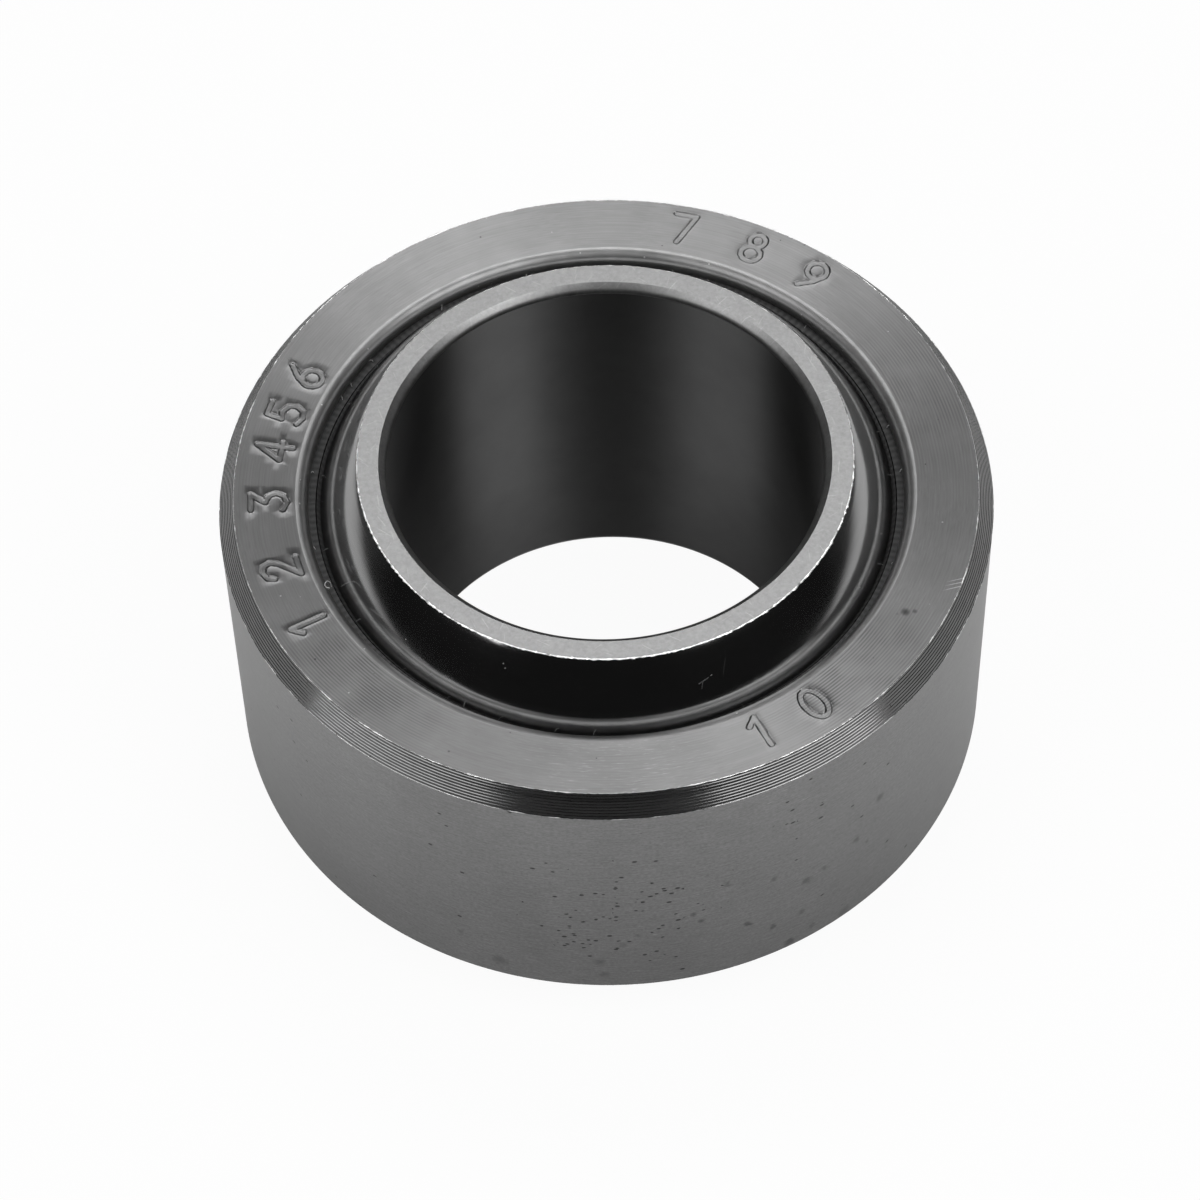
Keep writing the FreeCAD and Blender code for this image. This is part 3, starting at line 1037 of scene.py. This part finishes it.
# The bore's chamfer runs into the bore in a curve: outwards and downwards, in shares of it.
chamfer_rows = [end_rows[-1]]
for out, down in ((0.84, 0.10), (0.32, 0.52), (0.15, 0.72), (0.04, 0.92), (0.0, 1.15)):
    chamfer_rows.append((BORE_RADIUS + BORE_CHAMFER * out, BALL_HALF_WIDTH - BORE_CHAMFER * down))
bore_top = chamfer_rows[-1][1]
bore_rows = [(BORE_RADIUS, bore_top * k) for k in (1, 0.5, 0, -0.5, -1)]
ball_parts = [
    turned("sphere", sphere, BALL_SEGMENTS, lapped_steel),
    turned("upper_edge", edge_rows, BALL_SEGMENTS, end_steel),
    turned("upper_end", end_rows, BALL_SEGMENTS, end_steel),
    turned("upper_bore_chamfer", chamfer_rows, BALL_SEGMENTS, end_steel),
    turned("bore", bore_rows, BALL_SEGMENTS, honed_steel_painted_shade),
    turned("lower_bore_chamfer", mirrored(chamfer_rows), BALL_SEGMENTS, end_steel),
    turned("lower_end", mirrored(end_rows), BALL_SEGMENTS, end_steel),
    turned("lower_edge", mirrored(edge_rows), BALL_SEGMENTS, end_steel),
]
ball = welded("bored_ball", ball_parts, 25)
ball_limits = (RACE_RADIUS, BALL_HALF_WIDTH)
burr_height = BALL_HALF_WIDTH - 0.02 * MM
ball_burrs = [
    burr("end_burr", END_RADIUS, burr_height, 0.068, 0.08, 1.7, 1080, 53, ball_limits, 0.25),
    burr("lower_end_burr", END_RADIUS, -burr_height, 0.03, 0.04, 0.5, 720, 67, ball_limits),
]
with_extras(ball, ball_burrs)
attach(ball, "ball")
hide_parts("inner_ball")

# Studio: a sheet of pale paper under the bearing, two softboxes in front of it, to
# the left and right, a small one over its back, and a faint glow all round.

FLOOR_HALF = 1.5
ground = cad_box[0][2]
corners = [(-1, -1), (1, -1), (1, 1), (-1, 1)]
floor_mesh = bpy.data.meshes.new("floor")
floor_mesh.from_pydata([(x * FLOOR_HALF, y * FLOOR_HALF, ground) for x, y in corners], [], [(0, 1, 2, 3)])
floor = new_object("floor", floor_mesh)
paper = bpy.data.materials.new("pale_paper")
paper.use_nodes = True
paper_tree = paper.node_tree
paper_surface = paper_tree.nodes["Principled BSDF"]
paper_surface.inputs["Base Color"].default_value = (0.85, 0.85, 0.85, 1)
paper_surface.inputs["Roughness"].default_value = 0.9
paper_surface.inputs["Specular IOR Level"].default_value = 0.0
camera_ray = Wire(paper_tree, paper_tree.nodes.new("ShaderNodeLightPath").outputs["Is Camera Ray"])
mirrored_ray = camera_ray.out("Is Glossy Ray").math("MAXIMUM", camera_ray.out("Is Transmission Ray"))
white = camera_ray.node("ShaderNodeEmission", {}, {"Color": (1, 1, 1, 1), "Strength": 1.0})
shares = (camera_ray * 0.95).math("MAXIMUM", mirrored_ray * 0.12)
values = {0: shares, 1: Wire(paper_tree, paper_surface.outputs[0]), 2: white}
mixed = camera_ray.node("ShaderNodeMixShader", {}, values)
paper_tree.links.new(mixed.socket, paper_tree.nodes["Material Output"].inputs["Surface"])
floor_mesh.materials.append(paper)

world = bpy.data.worlds.new("studio")
bpy.context.scene.world = world
world.use_nodes = True
room = world.node_tree
sky = Wire(room, room.nodes.new("ShaderNodeTexCoord").outputs["Generated"])
towards = sky.split()
behind = towards.out("Y").smooth(-0.1, 0.7)
above = towards.out("Z").smooth(0.75, 0.98)
glow = 0.012 + 0.12 * behind + 0.15 * above
room.links.new(glow.socket, room.nodes["Background"].inputs["Strength"])
room.nodes["Background"].inputs["Color"].default_value = (1, 1, 1, 1)


def softbox(name, azimuth, elevation, distance, width, height, brightness):
    """An oblong lamp that faces the bearing. Angles are in degrees, lengths in metres."""
    a = math.radians(azimuth)
    e = math.radians(elevation)
    data = bpy.data.lights.new(name, "AREA")
    data.shape = "RECTANGLE"
    data.size = width
    data.size_y = height
    data.energy = brightness * math.pi * width * height
    lamp = new_object(name, data)
    direction = Vector((math.cos(a) * math.cos(e), math.sin(a) * math.cos(e), math.sin(e)))
    lamp.location = direction * distance
    lamp.rotation_mode = "QUATERNION"
    lamp.rotation_quaternion = direction.to_track_quat("Z", "Y")
    lamp.visible_camera = False


softbox("left_softbox", -152, 48, 0.6, 0.38, 0.40, 2.7)
softbox("right_softbox", -36, 52, 0.6, 0.34, 0.42, 3.7)
softbox("back_softbox", 86, 66, 0.33, 0.175, 0.105, 5.4)

# Camera: a long lens that looks down at the bearing from its front, at the angle and
# with the slight roll of the photograph.

CAMERA_ELEVATION = math.radians(54.11)
CAMERA_ROLL = math.radians(-1.553)
CAMERA_DISTANCE = 231.095 * MM
CAMERA_SIDESTEP = 0.4329 * MM
CAMERA_RISE = 0.8029 * MM
CAMERA_LENS = 131.465

backwards = Vector((0, -math.cos(CAMERA_ELEVATION), math.sin(CAMERA_ELEVATION)))
level = Vector((1, 0, 0))
rise = backwards.cross(level)
right = math.cos(CAMERA_ROLL) * level + math.sin(CAMERA_ROLL) * rise
up = math.cos(CAMERA_ROLL) * rise - math.sin(CAMERA_ROLL) * level
camera_data = bpy.data.cameras.new("camera")
camera_data.lens = CAMERA_LENS
camera_data.clip_start = 0.01
camera = new_object("camera", camera_data)
camera.rotation_mode = "QUATERNION"
camera.location = backwards * CAMERA_DISTANCE - right * CAMERA_SIDESTEP - up * CAMERA_RISE
camera.rotation_quaternion = Matrix((right, up, backwards)).transposed().to_quaternion()
bpy.context.scene.camera = camera
bpy.context.scene.view_settings.view_transform = "Standard"
